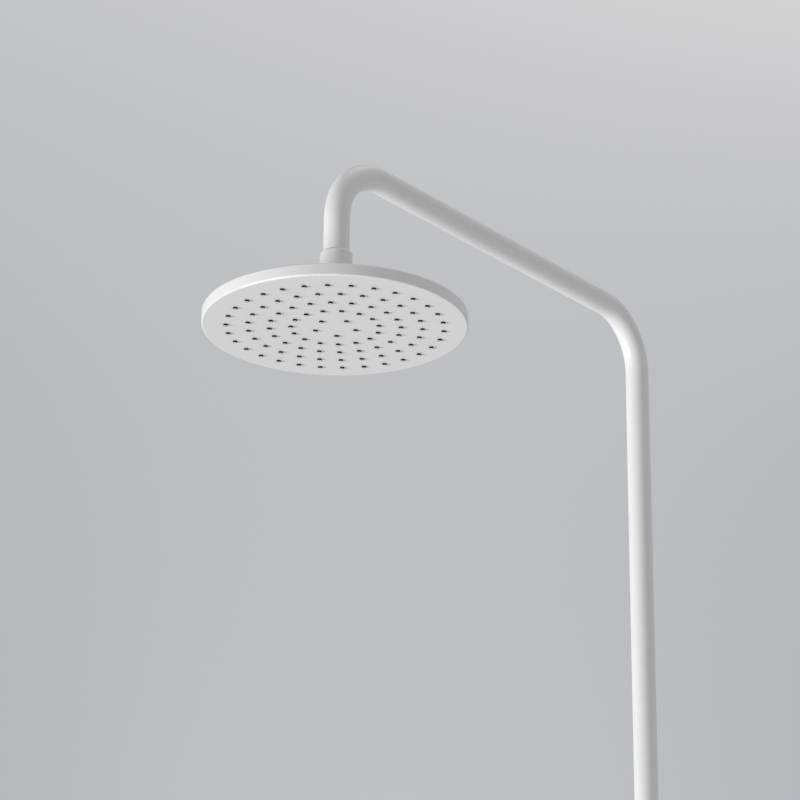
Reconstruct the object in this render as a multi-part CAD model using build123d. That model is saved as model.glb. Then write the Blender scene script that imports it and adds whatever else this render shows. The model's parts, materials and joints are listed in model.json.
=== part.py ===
# Shower rail set: a bent riser with an overhead spray head, a wall bracket, a handset slider and a diverter.
# Millimetres, +Z up, +Y into the wall, -Y to the room. The wall is the plane y = 0, and the origin is on the
# water inlet's axis at the wall.

from build123d import *
from math import cos, radians, sin
import os

# Riser tube
tube_d = 25.0
tube_wall = 1.5
bend_r = 62.5
reach = 510.0
rail_offset = 60.0
arm_height = 1080.0
neck_drop = 174.0
tube_joint_height = 460.0

# Clearances
running = 0.06
fixed_fit = 0.05
loose_fit = 0.3
seam = 0.15
end_gap = 0.1

# Half-inch pipe thread, modelled at its outside diameter
thread_d = 20.955

# Round section of every small sealing ring, as it lies squeezed in its groove
seal_section = 1.4
seal_groove_w = 2.2

# Small turned edges, and the hexagon key that fits every screw
small_bevel = 1.0
hex_key_w = 2.5

# Spray head, heights counted up from its face
head_d = 250.0
head_h = 12.0
head_low_edge = 1.5
head_top_edge = 1.0
face_t = 2.5
cover_t = 2.5
lip_w = 2.5
ledge_w = 3.5
nozzle_outer_counts = (30, 25, 20, 15)
nozzle_edge = 22.8
nozzle_ring_pitch = 20.2
nozzle_inner_count = 5
nozzle_inner_r = 19.9
nub_d = 4.2
nub_gap = 0.1
nub_bore_d = 1.2
nub_proud = 2.0
nub_edge = 0.2
mat_t = 1.5
mat_margin = 5.0
jet_plate_t = 1.5
jet_hole_d = 2.4
cover_screw_count = 6
cover_screw_d = 3.0
cover_screw_head_d = 5.8
cover_screw_grip = 5.0
cover_screw_key_depth = 1.25
cover_boss_d = 7.0
cover_boss_gap = 3.5
standoff_d = 5.0

# Ball joint of the head
ball_d = 20.0
ball_height = 28.0
ball_trim = 8.5
ball_neck_d = 14.0
ball_water_d = 9.0
liner_t = 1.15
liner_low = 6.0
liner_high = 5.0
seat_ring_low = 7.9
seat_ring_high = 5.9
seat_ring_d = 26.0
hub_wall = 4.0
hub_floor = 10.5
hub_floor_d = 21.6
hub_water_d = 12.0
nut_wall = 2.9
nut_cap_t = 3.7
nut_foot = 2.0
nut_mouth_low_d = 19.0
nut_mouth_high_d = 22.4
nut_flat_count = 8
nut_flat_depth = 0.8
nut_flat_w = 10.0
nut_flat_h = 12.0
ball_to_collar = 18.0

# Collar and threaded tail at the tube's mouth
collar_d = 31.0
collar_length = 31.0
collar_top_bevel = 2.75
collar_low_bevel = 1.0
tail_thread_length = 14.0
tail_grip = 20.0
tail_bore_d = 15.0
washer_t = 2.0
washer_hole_d = 3.0
washer_fine_hole_d = 1.5
washer_hole_circle_r = 4.5
washer_hole_count = 9
regulator_h = 6.0
regulator_d = 18.0
regulator_hole_d = 2.0
regulator_hole_circle_r = 3.0
regulator_hole_count = 6

# Sleeve inside the joint of the two tubes
spigot_grip = 30.0
spigot_bore_d = 16.0
spigot_seal_gap = 8.0

# Upper wall bracket
bracket_d = 36.0
bracket_h = 40.0
bracket_bevel = 1.5
bush_t = 1.4
bush_slit_w = 2.0
stem_d = 22.0
hub_d = 16.0
hub_reach = 26.0
wall_plate_d = 46.0
wall_plate_t = 4.0
wall_screw_pitch = 30.0
wall_screw_hole_d = 5.5
rosette_wall = 1.5
rosette_bevel = 2.0
upper_rosette_d = 56.0
upper_rosette_h = 11.0
gasket_t = 1.2
gasket_w = 2.4
grub_d = 5.0
grub_length = 7.0
grub_key_depth = 3.0
stem_grub_y = 20.0

# Handset slider, heights counted from its own middle
slider_height = 250.0
slider_d = 40.0
slider_half_h = 28.0
slider_bevel = 1.5
slider_bore_gap = 0.4
glide_ring_h = 5.6
glide_ring_t = 2.5
slider_seam_height = -21.0
yoke_mid = -10.0
yoke_h = 10.0
yoke_web = 2.6
yoke_travel = 2.0
pocket_wall = 2.2
pad_t = 1.7
pad_half_angle = 25.0
pad_inset = 1.0
button_d = 9.4
button_proud = 4.0
button_edge = 0.6
spring_d = 6.0
spring_wire = 0.8
spring_guide_length = 2.0
release_spring_end = 25.0
boss_d = 30.0
boss_end = 27.0
cradle_length = 36.0
cradle_gap = 0.6
cradle_bevel = 1.5
cradle_mouth_d = 23.6
cradle_foot_d = 21.0
cradle_slot_w = 17.5
pivot_screw_d = 5.0
pivot_head_d = 8.2
pivot_head_t = 2.5
pivot_seat_t = 3.0
pivot_grip_start = 15.5
pivot_washer_d = 18.0

# Diverter body, heights counted from the inlet axis
valve_d = 44.0
valve_top = 44.0
valve_foot = -38.0
valve_bevel = 1.5
rail_socket = 6.0
insert_d = 18.0
insert_end = 16.0
insert_grip = 30.0
insert_bore_d = 13.0
insert_seal_height = 22.0
foot_grub_height = 34.0
valve_port_d = 6.0
port_offset = 7.0
port_drill_d = 5.0
port_bore_d = 6.0
neck_d = 28.0
neck_end = 8.0
front_boss_d = 36.0

# Cartridge and knob, distances counted forward from the rail's axis
cavity_d = 26.0
cavity_floor = 6.0
front_face = 34.0
disc_seal_t = 1.5
disc_t = 3.0
fixed_disc_d = 23.0
turning_disc_d = 21.0
spindle_flange_d = 19.0
spindle_flange_t = 3.0
spindle_d = 10.0
spindle_tip_d = 8.0
spindle_tip_flat = 1.0
spindle_shoulder = 32.0
spindle_tip = 44.0
cartridge_wall = 1.25
cartridge_cap_t = 4.5
gland_bore_d = 11.2
gland_key_w = 16.0
gland_key_depth = 4.0
knob_d = 38.0
knob_gap = 0.6
knob_length = 27.4
knob_bevel = 1.5
lever_d = 5.0
lever_length = 18.0
lever_seat = 4.0
lever_mid = 50.0
knob_grub_mid = 40.0
knob_grub_length = 9.0

# Inlet at the wall
inlet_reach = 16.0
inlet_grip = 30.0
inlet_shoulder_d = 24.0
inlet_shoulder_t = 4.0
inlet_bore_d = 14.0
inlet_filter_t = 3.0
inlet_filter_hole_d = 2.0
inlet_filter_counts = (5, 10)
inlet_filter_radii = (2.3, 4.6)
lower_rosette_d = 66.0
lower_rosette_h = 11.0

# Hose outlet with its check valve, heights counted from the inlet axis
outlet_socket = 14.0
outlet_flange_d = 26.0
outlet_flange_t = 5.0
outlet_thread_length = 11.0
outlet_lip_d = 12.0
outlet_lip_t = 2.0
cage_d = 14.8
cage_wall = 1.4
cage_top_gap = 3.0
cage_seat_d = 8.0
cage_seat_t = 2.0
cage_floor_t = 2.0
cage_window_d = 3.0
cage_window_count = 4
poppet_d = 10.4
poppet_t = 2.0
poppet_stem_d = 3.0
poppet_travel = 3.0
poppet_seal_section = 1.0
valve_spring_d = 7.0
valve_spring_open_length = 8.4

# Places worked out from the sizes above
tube_r = tube_d / 2
tube_bore_r = tube_r - tube_wall
thread_r = thread_d / 2
head_r = head_d / 2
ball_r = ball_d / 2
ledge_height = head_h - cover_t
lip_r = head_r - lip_w
ledge_r = lip_r - ledge_w
nozzle_outer_r = head_r - nozzle_edge
nozzle_hole_r = nub_d / 2 + nub_gap
mat_r = nozzle_outer_r + mat_margin
cover_screw_circle_r = ledge_r - cover_boss_gap - cover_boss_d / 2
standoff_circle_r = nozzle_outer_r - nozzle_ring_pitch / 2
mat_top = face_t + mat_t
jet_top = mat_top + end_gap + jet_plate_t
liner_r = ball_r + running + liner_t
hub_top = ball_height + seat_ring_high + end_gap
hub_r = seat_ring_d / 2 + running + hub_wall
nut_inner_r = hub_r + end_gap
nut_r = nut_inner_r + nut_wall
nut_top = hub_top + loose_fit + nut_cap_t
collar_low = ball_height + ball_to_collar
collar_top = collar_low + collar_length
washer_low = collar_top - tail_thread_length - end_gap - washer_t
regulator_low = washer_low - end_gap - regulator_h
rail_foot = valve_top - rail_socket
glide_inner_r = tube_r + running
glide_outer_r = glide_inner_r + glide_ring_t
slider_r = slider_d / 2
slider_bore_r = tube_r + slider_bore_gap
pocket_r = slider_r - pocket_wall
yoke_low = yoke_mid - yoke_h / 2
yoke_high = yoke_mid + yoke_h / 2
yoke_hole_r = tube_r + loose_fit
yoke_r = yoke_hole_r + yoke_web
spring_seat = yoke_r - loose_fit
cradle_start = boss_end + cradle_gap
cradle_mid = cradle_start + cradle_length / 2
cavity_r = cavity_d / 2
fixed_disc_back = cavity_floor + disc_seal_t + end_gap
fixed_disc_front = fixed_disc_back + disc_t
turning_disc_back = fixed_disc_front + end_gap
turning_disc_front = turning_disc_back + disc_t
flange_front = turning_disc_front + end_gap + spindle_flange_t
cartridge_front = flange_front + end_gap + cartridge_cap_t
knob_back = front_face + knob_gap
knob_front = knob_back + knob_length
outlet_flange_low = valve_foot - end_gap - outlet_flange_t
outlet_end = outlet_flange_low - outlet_thread_length
cage_top = valve_foot + outlet_socket - cage_top_gap
seat_face = cage_top - cage_seat_t
poppet_top = seat_face - end_gap - poppet_seal_section / 2
poppet_low = poppet_top - poppet_t
cage_low = poppet_low - poppet_travel - valve_spring_open_length - cage_floor_t

# Local frames: Z of the front frame points to the room, Z of the side frame along +X
head_frame = Pos(0, -(rail_offset + reach), arm_height - neck_drop)
rail_frame = Pos(0, -rail_offset, 0)
slider_frame = Pos(0, -rail_offset, slider_height)
front_frame = rail_frame * Rot(90, 0, 0)
side_frame = slider_frame * Rot(0, 90, 0)


def wall_frame(height):
    """Frame on the wall at a height, with Z out to the room."""
    return Pos(0, 0, height) * Rot(90, 0, 0)


def turned(*outline):
    """Solid of revolution about Z from (radius, height) points, where repeated points count once."""
    corners = [point for index, point in enumerate(outline) if point != outline[index - 1]]
    return revolve(make_face(Plane.XZ * Polyline(*corners, close=True)), Axis.Z)


def rod(radius, low, high):
    """Cylinder on Z between two heights."""
    return Pos(0, 0, (low + high) / 2) * Cylinder(radius, high - low)


def ring(outer_r, inner_r, low, high):
    """Plain ring on Z between two heights."""
    return rod(outer_r, low, high) - rod(inner_r, low, high)


def bevelled_rod(radius, low, high, low_bevel, high_bevel):
    """Cylinder on Z with a 45 degree bevel at each end."""
    return turned(
        (0, low),
        (radius - low_bevel, low),
        (radius, low + low_bevel),
        (radius, high - high_bevel),
        (radius - high_bevel, high),
        (0, high),
    )


def seal_ring(groove_r, wall_r, height):
    """Sealing ring that fills the gap between a groove's floor and the wall round it."""
    section_r = (abs(wall_r - groove_r) - end_gap) / 2
    return Pos(0, 0, height) * Torus((groove_r + wall_r) / 2, section_r)


def seal_groove(outer_r, floor_r, height):
    """Cutter for a sealing ring's groove."""
    return ring(outer_r, floor_r, height - seal_groove_w / 2, height + seal_groove_w / 2)


def round_edge(solid, edge_r, height, fillet_r):
    """Fillet the circular edge with this radius at this height."""
    on_edge = [
        edge
        for edge in solid.edges().filter_by(GeomType.CIRCLE)
        if abs(edge.radius - edge_r) < fixed_fit and abs(edge.center().Z - height) < fixed_fit
    ]
    return fillet(on_edge, fillet_r)


def grub(diameter, length):
    """Headless screw on Z, its point at 0 and its hexagon socket at the far end."""
    point = diameter / 4
    body = turned((0, 0), (point, 0), (diameter / 2, point), (diameter / 2, length), (0, length))
    socket = extrude(RegularPolygon(hex_key_w / 2, 6, major_radius=False), grub_key_depth)
    return body - Pos(0, 0, length - grub_key_depth) * socket


def nozzle_rings():
    """Count and radius of each nozzle ring: even steps from the edge inward, then a small one inside."""
    rings = []
    for step, count in enumerate(nozzle_outer_counts):
        rings.append((count, nozzle_outer_r - step * nozzle_ring_pitch))
    return rings + [(nozzle_inner_count, nozzle_inner_r)]


def nozzle_places():
    """Places of the nozzles, in rings that share a spoke pointing away from the rail."""
    places = []
    for count, radius in nozzle_rings():
        for index in range(count):
            angle = radians(-90 + 360 * index / count)
            places.append(Pos(radius * cos(angle), radius * sin(angle), 0))
    return places


def around(count, radius, start=0.0):
    """Evenly spaced places on a circle."""
    return [Rot(0, 0, start + 360 * index / count) * Pos(radius, 0, 0) for index in range(count)]


# Spray head


def make_face_shell():
    shell = rod(head_r, 0, head_h)
    shell = round_edge(shell, head_r, 0, head_low_edge)
    shell = round_edge(shell, head_r, head_h, head_top_edge)
    shell -= rod(lip_r, ledge_height, head_h)
    shell -= rod(ledge_r, face_t, ledge_height)
    shell += [
        place * rod(cover_boss_d / 2, face_t, ledge_height)
        for place in around(cover_screw_count, cover_screw_circle_r)
    ]
    shell -= [
        place * rod(cover_screw_d / 2, ledge_height - cover_screw_grip, ledge_height)
        for place in around(cover_screw_count, cover_screw_circle_r)
    ]
    shell -= [place * rod(nozzle_hole_r, 0, face_t) for place in nozzle_places()]
    groove_r = (lip_r + ledge_r) / 2
    shell -= ring(
        groove_r + seal_section / 2 + end_gap,
        groove_r - seal_section / 2 - end_gap,
        ledge_height - seal_section - end_gap,
        ledge_height,
    )
    return head_frame * shell


def make_cover_seal():
    section_r = seal_section / 2
    middle = ledge_height - section_r - end_gap / 2
    return head_frame * Pos(0, 0, middle) * Torus((lip_r + ledge_r) / 2, section_r)


def make_nozzle_mat():
    nub_r = nub_d / 2
    nub = bevelled_rod(nub_r, -nub_proud, face_t, nub_edge, 0)
    mat = rod(mat_r, face_t, mat_top)
    mat += [place * nub for place in nozzle_places()]
    mat -= [place * rod(nub_bore_d / 2, -nub_proud, mat_top) for place in nozzle_places()]
    return head_frame * mat


def make_jet_plate():
    plate = rod(mat_r, mat_top + end_gap, jet_top)
    plate -= [place * rod(jet_hole_d / 2, mat_top, jet_top) for place in nozzle_places()]
    return head_frame * plate


def countersink(hole_r, sink_r, height):
    """Cone at 45 degrees under a height, from the hole's radius out to the head's."""
    low = height - sink_r + hole_r
    return turned((0, low), (hole_r, low), (sink_r, height), (0, height))


def cover_screw():
    """Countersunk screw whose head is flush with the top of the head."""
    shank_r = cover_screw_d / 2 - fixed_fit
    head_screw_r = cover_screw_head_d / 2
    tip = ledge_height - cover_screw_grip + loose_fit
    top = head_h - end_gap
    body = rod(shank_r, tip, top) + countersink(shank_r, head_screw_r, top)
    socket = extrude(RegularPolygon(hex_key_w / 2, 6, major_radius=False), cover_screw_key_depth)
    return body - Pos(0, 0, top - cover_screw_key_depth) * socket


def make_cover_screws():
    screws = Part() + [place * cover_screw() for place in around(cover_screw_count, cover_screw_circle_r)]
    return head_frame * screws


def make_back_cover():
    disc_r = lip_r - end_gap
    cover = rod(disc_r, ledge_height, head_h)
    cover += bevelled_rod(hub_r, ledge_height, hub_top, 0, small_bevel)
    cover += [
        place * rod(standoff_d / 2, jet_top + end_gap, ledge_height)
        for place in around(cover_screw_count, standoff_circle_r)
    ]
    hole_r = cover_screw_d / 2 + end_gap
    sink_r = cover_screw_head_d / 2 + end_gap
    sink = rod(hole_r, ledge_height, head_h) + countersink(hole_r, sink_r, head_h)
    cover -= [place * sink for place in around(cover_screw_count, cover_screw_circle_r)]
    ring_r = seat_ring_d / 2 + running
    ring_floor = ball_height - seat_ring_low - end_gap
    cup_floor = ball_height - hub_floor
    cover -= rod(ring_r, ring_floor, hub_top)
    cover -= rod(hub_floor_d / 2, cup_floor, ring_floor)
    cover -= rod(hub_water_d / 2, ledge_height, cup_floor)
    return head_frame * cover


def make_swivel_nut():
    low = head_h + nut_foot
    nut = bevelled_rod(nut_r, low, nut_top, small_bevel, small_bevel)
    nut -= rod(nut_inner_r, low, hub_top + loose_fit)
    mouth = turned(
        (0, hub_top),
        (nut_mouth_low_d / 2, hub_top),
        (nut_mouth_low_d / 2, hub_top + loose_fit),
        (nut_mouth_high_d / 2, nut_top),
        (0, nut_top),
    )
    nut -= mouth
    flat = Pos(nut_r, 0, (low + nut_top) / 2) * Box(2 * nut_flat_depth, nut_flat_w, nut_flat_h)
    nut -= [place * flat for place in around(nut_flat_count, 0)]
    return head_frame * nut


def make_ball_liner():
    shell = Sphere(liner_r) - Sphere(ball_r + running)
    shell &= rod(liner_r, -liner_low, liner_high)
    return head_frame * Pos(0, 0, ball_height) * shell


def make_seat_rings():
    cup = Sphere(liner_r + running)
    low_ring = rod(seat_ring_d / 2, -seat_ring_low, -end_gap) - cup
    high_ring = rod(seat_ring_d / 2, end_gap, seat_ring_high) - cup
    return head_frame * Pos(0, 0, ball_height) * (Part() + [low_ring, high_ring])


def make_ball_stem():
    ball = Pos(0, 0, ball_height) * Sphere(ball_r)
    ball &= rod(ball_r, ball_height - ball_trim, ball_height + ball_r)
    collar = bevelled_rod(collar_d / 2, collar_low, collar_top, collar_low_bevel, collar_top_bevel)
    stem = ball + rod(ball_neck_d / 2, ball_height, collar_low) + collar
    stem -= rod(ball_water_d / 2, ball_height - ball_trim, collar_top)
    stem -= rod(regulator_d / 2 + end_gap, regulator_low, collar_top)
    stem -= rod(thread_r + fixed_fit, washer_low, collar_top)
    return head_frame * stem


def make_flow_regulator():
    top = regulator_low + regulator_h
    body = rod(regulator_d / 2, regulator_low, top)
    body -= [
        place * rod(regulator_hole_d / 2, regulator_low, top)
        for place in around(regulator_hole_count, regulator_hole_circle_r)
    ]
    body -= regulator_groove()
    return head_frame * body


def regulator_groove():
    """Cutter for the regulator's ring, in its side."""
    middle = regulator_low + regulator_h / 2
    return seal_groove(regulator_d / 2, regulator_d / 2 - seal_section, middle)


def make_regulator_ring():
    floor_r = regulator_d / 2 - seal_section
    wall_r = regulator_d / 2 + end_gap
    return head_frame * seal_ring(floor_r, wall_r, regulator_low + regulator_h / 2)


def make_filter_washer():
    washer = rod(thread_r - fixed_fit, washer_low, washer_low + washer_t)
    washer -= rod(washer_hole_d / 2, washer_low, washer_low + washer_t)
    washer -= [
        place * rod(washer_fine_hole_d / 2, washer_low, washer_low + washer_t)
        for place in around(washer_hole_count, washer_hole_circle_r)
    ]
    return head_frame * washer


# Riser


def make_gooseneck_tube():
    neck_y = -(rail_offset + reach)
    start = (0, neck_y, arm_height - neck_drop + collar_top)
    route = FilletPolyline(
        start,
        (0, neck_y, arm_height),
        (0, -rail_offset, arm_height),
        (0, -rail_offset, tube_joint_height),
        radius=bend_r,
    )
    mouth = Plane(origin=start, z_dir=(0, 0, 1))
    return sweep(mouth * Circle(tube_r), path=route) - sweep(mouth * Circle(tube_bore_r), path=route)


def make_neck_tail():
    low = collar_top - tail_thread_length
    tail = rod(thread_r, low, collar_top)
    tail += rod(tube_bore_r - fixed_fit, collar_top, collar_top + tail_grip)
    tail -= rod(tail_bore_d / 2, low, collar_top + tail_grip)
    return head_frame * tail


def make_rail_tube():
    return rail_frame * ring(tube_r, tube_bore_r, rail_foot, tube_joint_height - end_gap)


def joint_seal_heights():
    """Heights of the sealing rings, two above the joint and one below."""
    first = tube_joint_height + spigot_seal_gap
    return [first, first + spigot_seal_gap, tube_joint_height - spigot_seal_gap]


def make_joint_spigot():
    low = tube_joint_height - spigot_grip
    high = tube_joint_height + spigot_grip
    spigot = ring(tube_bore_r - fixed_fit, spigot_bore_d / 2, low, high)
    for height in joint_seal_heights():
        spigot -= seal_groove(tube_r, tube_bore_r - seal_section, height)
    return rail_frame * spigot


def make_joint_seals():
    floor_r = tube_bore_r - seal_section
    rings = [seal_ring(floor_r, tube_bore_r, height) for height in joint_seal_heights()]
    return rail_frame * (Part() + rings)


# Upper wall bracket


def make_bracket_bush():
    half_h = bracket_h / 2 - bracket_bevel
    inner_r = tube_r + fixed_fit
    bush = ring(inner_r + bush_t, inner_r, tube_joint_height - half_h, tube_joint_height + half_h)
    bush -= Pos(-tube_r - bush_t / 2, 0, tube_joint_height) * Box(2 * bush_t, bush_slit_w, bracket_h)
    return rail_frame * bush


def make_bracket_body():
    low = tube_joint_height - bracket_h / 2
    high = tube_joint_height + bracket_h / 2
    sleeve = rail_frame * bevelled_rod(bracket_d / 2, low, high, bracket_bevel, bracket_bevel)
    stem_end = gasket_t + wall_plate_t
    stem = wall_frame(tube_joint_height) * rod(stem_d / 2, stem_end, rail_offset)
    body = sleeve + stem
    body -= rail_frame * rod(tube_r + 2 * fixed_fit + bush_t, low, high)
    body -= wall_frame(tube_joint_height) * rod(hub_d / 2 + fixed_fit, stem_end, hub_reach + end_gap)
    body -= bracket_screw_place() * rod(grub_d / 2 + fixed_fit, -grub_d / 2, bracket_d)
    body -= hub_screw_place() * rod(grub_d / 2 + fixed_fit, -grub_d / 2, stem_d)
    return body


def bracket_screw_place():
    """Frame on the bush's outside, with Z out to the right."""
    return rail_frame * Pos(tube_r + 2 * fixed_fit + bush_t, 0, tube_joint_height) * Rot(0, 90, 0)


def make_bracket_screw():
    length = min(grub_length, bracket_d / 2 - tube_r - bush_t)
    return bracket_screw_place() * grub(grub_d, length - end_gap)


def hub_screw_place():
    """Frame under the wall plate's hub, with Z down."""
    return Pos(0, -stem_grub_y, tube_joint_height - hub_d / 2) * Rot(180, 0, 0)


def hub_screw_point():
    """Height of the screw's point in its own frame, where the screw's outer end is flush with the stem."""
    return (stem_d - hub_d) / 2 - grub_length


def make_hub_screw():
    return hub_screw_place() * Pos(0, 0, hub_screw_point()) * grub(grub_d, grub_length)


def make_wall_plate():
    plate = rod(wall_plate_d / 2, 0, wall_plate_t)
    plate += rod(hub_d / 2, wall_plate_t, hub_reach)
    for side in (-1, 1):
        plate -= Pos(0, side * wall_screw_pitch / 2, 0) * rod(wall_screw_hole_d / 2, 0, wall_plate_t)
    plate = wall_frame(tube_joint_height) * plate
    return plate - hub_screw_place() * rod(grub_d / 2 + fixed_fit, hub_screw_point(), hub_d / 2)


def rosette(outer_r, height, hole_r):
    """Hollow round cover on the wall, bevelled at the front, with a hole for what comes out."""
    inner_r = outer_r - rosette_wall
    shell = bevelled_rod(outer_r, 0, height, 0, rosette_bevel)
    shell -= bevelled_rod(inner_r, 0, height - rosette_wall, 0, rosette_bevel)
    return shell - rod(hole_r, 0, height)


def gasket(outer_r):
    """Flat foam ring between a rosette's back edge and the wall."""
    return ring(outer_r - rosette_wall - end_gap, outer_r - rosette_wall - gasket_w, 0, gasket_t)


def make_upper_rosette():
    shell = rosette(upper_rosette_d / 2, upper_rosette_h, stem_d / 2 + end_gap)
    return wall_frame(tube_joint_height) * shell


def make_upper_gasket():
    return wall_frame(tube_joint_height) * gasket(upper_rosette_d / 2)


# Handset slider


def make_slider_body():
    body = bevelled_rod(slider_r, slider_seam_height + seam, slider_half_h, 0, slider_bevel)
    body += Rot(0, 90, 0) * rod(boss_d / 2, 0, boss_end)
    body -= rod(slider_bore_r, slider_seam_height, slider_half_h)
    body -= rod(pocket_r, slider_seam_height, yoke_high + end_gap)
    seat_low = slider_half_h - glide_ring_h - 2 * end_gap
    body -= rod(glide_outer_r + running, seat_low, slider_half_h)
    body -= Pos(0, 0, yoke_mid) * Rot(0, -90, 0) * rod(button_d / 2 + loose_fit, 0, slider_r)
    body -= Pos(0, 0, yoke_mid) * Rot(0, 90, 0) * rod(spring_d / 2 + loose_fit, 0, release_spring_end)
    body -= Rot(0, 90, 0) * rod(pivot_screw_d / 2 + fixed_fit, 0, boss_end)
    return slider_frame * body


def make_slider_base():
    spigot_top = yoke_low - end_gap
    base = bevelled_rod(slider_r, -slider_half_h, slider_seam_height, slider_bevel, 0)
    base += rod(pocket_r - end_gap, slider_seam_height, spigot_top)
    base -= rod(slider_bore_r, -slider_half_h, spigot_top)
    base -= rod(glide_outer_r + running, -slider_half_h, -slider_half_h + glide_ring_h + 2 * end_gap)
    return slider_frame * base


def make_glide_rings():
    high = slider_half_h - end_gap
    upper = ring(glide_outer_r, glide_inner_r, high - glide_ring_h, high)
    lower = ring(glide_outer_r, glide_inner_r, -high, glide_ring_h - high)
    return slider_frame * (Part() + [upper, lower])


def long_hole(radius, shift, low, high):
    """Cylinder stretched along -X by a shift."""
    middle = Pos(-shift / 2, 0, (low + high) / 2) * Box(shift, 2 * radius, high - low)
    return rod(radius, low, high) + Pos(-shift, 0, 0) * rod(radius, low, high) + middle


def pad_sector(outer_r, low, high):
    """Block of a ring on the +X side of the rail."""
    half_w = outer_r * sin(radians(pad_half_angle))
    window = Pos(tube_r, 0, (low + high) / 2) * Box(tube_r, 2 * half_w, high - low)
    return ring(outer_r, tube_r + 2 * fixed_fit, low, high) & window


def make_brake_pad():
    outer_r = tube_r + 2 * fixed_fit + pad_t
    return slider_frame * pad_sector(outer_r, yoke_low + pad_inset, yoke_high - pad_inset)


def make_release_yoke():
    yoke = long_hole(yoke_r, yoke_travel, yoke_low, yoke_high)
    yoke -= long_hole(yoke_hole_r, yoke_travel, yoke_low, yoke_high)
    pad_r = tube_r + 3 * fixed_fit + pad_t
    yoke -= pad_sector(pad_r, yoke_low + pad_inset - fixed_fit, yoke_high - pad_inset + fixed_fit)
    seat = Pos(spring_seat + yoke_r / 2, 0, yoke_mid) * Box(yoke_r, yoke_r, yoke_h)
    yoke -= seat
    guide_r = spring_d / 2 - spring_wire - end_gap
    yoke += Pos(0, 0, yoke_mid) * Rot(0, 90, 0) * rod(guide_r, pad_r, spring_seat + spring_guide_length)
    button_end = slider_r + button_proud
    button_root = yoke_hole_r + yoke_travel + yoke_web / 2
    button = bevelled_rod(button_d / 2, button_root, button_end, 0, button_edge)
    yoke += Pos(0, 0, yoke_mid) * Rot(0, -90, 0) * button
    return slider_frame * yoke


def make_release_spring():
    outer_r = spring_d / 2
    spring = ring(outer_r, outer_r - spring_wire, spring_seat + fixed_fit, release_spring_end - fixed_fit)
    return slider_frame * Pos(0, 0, yoke_mid) * Rot(0, 90, 0) * spring


def make_cradle():
    end = cradle_start + cradle_length
    body = side_frame * bevelled_rod(boss_d / 2, cradle_start, end, 0, cradle_bevel)
    cone = Cone(cradle_foot_d / 2, cradle_mouth_d / 2, boss_d)
    slot = Pos(0, -boss_d / 2, 0) * Box(cradle_slot_w, boss_d, boss_d)
    body -= slider_frame * Pos(cradle_mid, 0, 0) * (cone + slot)
    body -= side_frame * rod(pivot_screw_d / 2 + running, cradle_start, cradle_mid)
    body -= side_frame * rod(pivot_head_d / 2 + loose_fit, cradle_start + pivot_seat_t, cradle_mid)
    return body


def make_pivot_screw():
    seat = cradle_start + pivot_seat_t + end_gap
    screw = rod(pivot_screw_d / 2, pivot_grip_start, seat)
    screw += rod(pivot_head_d / 2, seat, seat + pivot_head_t)
    socket = extrude(RegularPolygon(hex_key_w / 2, 6, major_radius=False), pivot_head_t)
    return side_frame * (screw - Pos(0, 0, seat + pivot_head_t / 2) * socket)


def make_pivot_washer():
    hole_r = pivot_screw_d / 2 + end_gap
    return side_frame * ring(pivot_washer_d / 2, hole_r, boss_end + end_gap / 2, cradle_start - end_gap / 2)


# Diverter


def make_valve_body():
    body = rail_frame * bevelled_rod(valve_d / 2, valve_foot, valve_top, valve_bevel, valve_bevel)
    body += front_frame * bevelled_rod(front_boss_d / 2, 0, front_face, 0, valve_bevel / 2)
    body += wall_frame(0) * rod(neck_d / 2, neck_end, rail_offset)
    body -= rail_frame * rod(tube_r + end_gap, rail_foot, valve_top)
    body -= rail_frame * rod(insert_d / 2 + end_gap, insert_end, rail_foot)
    body -= rail_frame * rod(thread_r + fixed_fit, valve_foot, valve_foot + outlet_socket)
    body -= front_frame * rod(cavity_r, cavity_floor, front_face)
    inlet_end = inlet_grip + end_gap
    body -= wall_frame(0) * rod(inlet_shoulder_d / 2 + end_gap, neck_end, inlet_shoulder_t + neck_end)
    body -= wall_frame(0) * rod(thread_r + fixed_fit, neck_end, inlet_end)
    body -= wall_frame(0) * rod(valve_port_d / 2, inlet_end, rail_offset + cavity_floor)
    for side in (-1, 1):
        body -= front_frame * Pos(0, side * port_offset, 0) * rod(port_drill_d / 2, 0, cavity_floor)
    port_start = port_offset - port_bore_d / 2
    body -= rail_frame * rod(port_bore_d / 2, port_start, insert_end)
    body -= rail_frame * rod(port_bore_d / 2, valve_foot + outlet_socket, -port_start)
    body -= foot_screw_place() * rod(grub_d / 2 + fixed_fit, -grub_d / 2, valve_d)
    return body


def make_foot_insert():
    insert = rod(insert_d / 2, insert_end + end_gap, rail_foot)
    insert += rod(tube_bore_r - fixed_fit, rail_foot + end_gap, rail_foot + insert_grip)
    insert += rod(insert_d / 2, rail_foot, rail_foot + insert_grip)
    insert -= rod(insert_bore_d / 2, insert_end, rail_foot + insert_grip)
    for height in foot_seal_heights():
        insert -= seal_groove(insert_d / 2, insert_d / 2 + end_gap - seal_section, height)
    return rail_frame * insert


def foot_seal_heights():
    """Heights of the two sealing rings under the rail."""
    return [insert_seal_height, insert_seal_height + 2 * seal_groove_w]


def make_foot_seals():
    wall_r = insert_d / 2 + end_gap
    rings = [seal_ring(wall_r - seal_section, wall_r, height) for height in foot_seal_heights()]
    return rail_frame * (Part() + rings)


def foot_screw_place():
    """Frame on the insert's side, with Z back to the wall."""
    return Pos(0, -rail_offset + insert_d / 2, foot_grub_height) * Rot(-90, 0, 0)


def make_foot_screw():
    return foot_screw_place() * Pos(0, 0, end_gap) * grub(grub_d, grub_length)


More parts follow.
